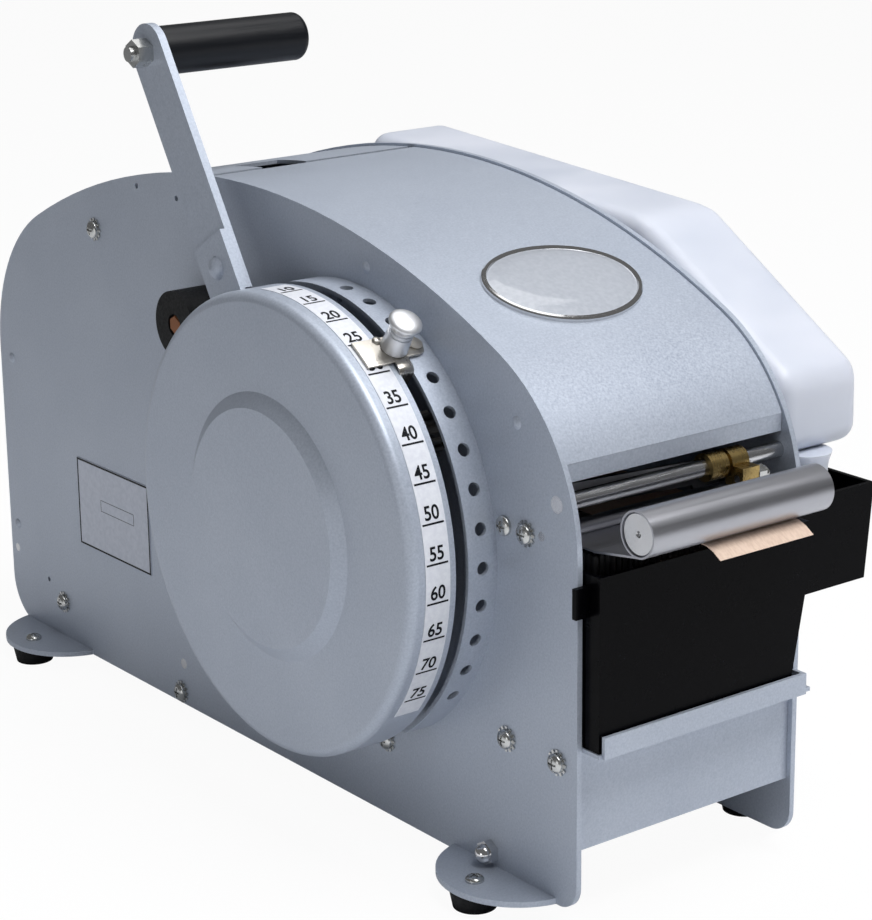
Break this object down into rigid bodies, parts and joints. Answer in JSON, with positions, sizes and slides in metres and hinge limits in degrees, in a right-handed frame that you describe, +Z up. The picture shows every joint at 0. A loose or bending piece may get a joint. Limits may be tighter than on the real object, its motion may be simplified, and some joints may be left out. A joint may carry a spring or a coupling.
{
  "type": "gummed tape dispenser",
  "caption": "Hand-lever dispenser for gummed paper tape, with a stop dial, geared feed, shear, water tank, bottle and brushes.",
  "frame": {"origin": "centre of the bounding box in plan, on the surface that the rubber feet stand on", "axes": "+X from the dial side to the bottle side, +Y from the tape exit to the back, +Z up"},
  "size_m": [0.2612, 0.588, 0.4053],
  "materials": {
    "grey_paint": "fine-textured silver-grey paint",
    "bright_steel": "turned and polished",
    "zinc": "bright zinc plate",
    "stainless_sheet": "brushed",
    "nickel_plate": "satin nickel plate",
    "tool_steel": "ground",
    "knob_aluminium": "turned",
    "brass": "turned",
    "black_rubber": "matt",
    "grip_rubber": "satin",
    "tank_plastic": "moulded",
    "brush_fibre": "bristle",
    "bottle_plastic": "blow moulded, milky",
    "cap_plastic": "moulded",
    "scale_film": "satin film",
    "label_film": "satin film",
    "badge_resin": "clear domed",
    "kraft_paper": "uncoated",
    "core_board": "wound",
    "gear_steel": "cut, oiled"
  },
  "bodies": {
    "frame": {"left_side_plate": "grey_paint", "right_side_plate": "grey_paint", "front_cover": "grey_paint", "pivot_rods": "bright_steel", "front_cross_plate": "grey_paint", "rear_cross_plate": "grey_paint", "tie_rods": "bright_steel", "frame_screws": "zinc", "star_washers": "zinc", "acorn_nuts": "zinc", "plate_rivets": "grey_paint", "cover_badge": "badge_resin", "data_plate": "label_film", "rubber_feet": "black_rubber", "foot_screws": "zinc", "dial_cover": "grey_paint", "dial_scale": "scale_film", "stop_ring": "grey_paint", "dial_spindle": "bright_steel", "spindle_nut": "zinc", "return_spring": "tool_steel", "lever_buffer": "black_rubber", "buffer_screw": "zinc", "shaft_bushes": "brass", "shear_frame": "tool_steel", "fixed_blade": "tool_steel", "blade_pivot": "zinc", "guide_shaft": "bright_steel", "tape_strip": "kraft_paper", "tank_shelf": "grey_paint", "water_tank": "tank_plastic", "brushes": "brush_fibre"},
    "lever": {"lever_bracket": "grey_paint", "lever_arm": "grey_paint", "lever_rivets": "grey_paint", "drive_gear": "gear_steel", "grip_bolt": "zinc", "grip_nut": "zinc"},
    "grip": {"grip": "grip_rubber"},
    "feed_train": {"pinion": "gear_steel", "feed_shaft": "bright_steel", "feed_wheel": "black_rubber"},
    "yoke": {"pressure_yoke": "zinc"},
    "pressure_roller": {"pressure_roller": "black_rubber"},
    "selector": {"selector_plate": "nickel_plate"},
    "selector_knob": {"selector_knob": "knob_aluminium", "selector_pin": "nickel_plate"},
    "rear_cover": {"rear_cover": "grey_paint"},
    "weight": {"weight_plate": "stainless_sheet", "weight_bar": "bright_steel"},
    "blade": {"moving_blade": "tool_steel"},
    "collars": {"guide_collars": "brass", "collar_clamp": "zinc"},
    "roll": {"tape_roll": "kraft_paper", "roll_core": "core_board"},
    "guide_roller": {"guide_roller": "black_rubber"},
    "front_cradle_roller": {"front_cradle_roller": "black_rubber"},
    "rear_cradle_roller": {"rear_cradle_roller": "black_rubber"},
    "bottle": {"water_bottle": "bottle_plastic", "bottle_cap": "cap_plastic"}
  },
  "joints": [
    {"name": "lever_swing", "type": "hinge", "parent": "frame", "child": "lever", "pos_m": [-0.0011, -0.074, 0.171], "axis": [1, 0, 0], "range_deg": [-10, 57.5], "stiffness_Nm_per_rad": 0.2, "springref_deg": -10.31},
    {"name": "grip_spin", "type": "hinge", "parent": "lever", "child": "grip", "pos_m": [-0.0436, 0.07147, 0.39029], "axis": [1, 0, 0], "continuous": true},
    {"name": "feed_spin", "type": "hinge", "parent": "frame", "child": "feed_train", "pos_m": [-0.0011, -0.1496, 0.2277], "axis": [1, 0, 0], "range_deg": [-470, 90]},
    {"name": "press_release", "type": "hinge", "parent": "frame", "child": "yoke", "pos_m": [-0.0011, -0.1096, 0.1686], "axis": [1, 0, 0], "range_deg": [0, 6], "stiffness_Nm_per_rad": 2, "springref_deg": -11.46},
    {"name": "pressure_roller_spin", "type": "hinge", "parent": "yoke", "child": "pressure_roller", "pos_m": [-0.0011, -0.1496, 0.1766], "axis": [1, 0, 0], "range_deg": [-270, 1480]},
    {"name": "selector_turn", "type": "hinge", "parent": "frame", "child": "selector", "pos_m": [-0.0011, -0.074, 0.171], "axis": [1, 0, 0], "range_deg": [-27.9, 93.2]},
    {"name": "selector_pull", "type": "slide", "parent": "selector", "child": "selector_knob", "axis": [0, -0.558, 0.8298], "range_m": [0, 0.004], "stiffness_N_per_m": 500, "springref_m": -0.004},
    {"name": "rear_cover_open", "type": "hinge", "parent": "frame", "child": "rear_cover", "pos_m": [-0.0011, 0.287, 0.056], "axis": [-1, 0, 0], "range_deg": [0, 80]},
    {"name": "weight_lift", "type": "hinge", "parent": "frame", "child": "weight", "pos_m": [-0.0011, -0.226, 0.1938], "axis": [-1, 0, 0], "range_deg": [0, 21]},
    {"name": "blade_cut", "type": "hinge", "parent": "frame", "child": "blade", "pos_m": [0.0524, -0.205, 0.183], "axis": [0, -1, 0], "range_deg": [0, 4], "stiffness_Nm_per_rad": 1.5, "springref_deg": -11.46},
    {"name": "collar_slide", "type": "slide", "parent": "frame", "child": "collars", "axis": [1, 0, 0], "range_m": [-0.082, 0.013]},
    {"name": "roll_spin", "type": "hinge", "parent": "frame", "child": "roll", "pos_m": [-0.0011, 0.163, 0.10873], "axis": [1, 0, 0], "continuous": true},
    {"name": "guide_roller_spin", "type": "hinge", "parent": "frame", "child": "guide_roller", "pos_m": [-0.0011, 0.1, 0.248], "axis": [1, 0, 0], "continuous": true},
    {"name": "front_cradle_spin", "type": "hinge", "parent": "frame", "child": "front_cradle_roller", "pos_m": [-0.0011, 0.095, 0.035], "axis": [1, 0, 0], "continuous": true},
    {"name": "rear_cradle_spin", "type": "hinge", "parent": "frame", "child": "rear_cradle_roller", "pos_m": [-0.0011, 0.231, 0.035], "axis": [1, 0, 0], "continuous": true},
    {"name": "bottle_lift", "type": "slide", "parent": "frame", "child": "bottle", "axis": [0, 0, 1], "range_m": [0, 0.08]}
  ],
  "couplings": [
    {"joint": "feed_spin", "follows": "lever_swing", "ratio": -8},
    {"joint": "pressure_roller_spin", "follows": "lever_swing", "ratio": 25.6}
  ]
}
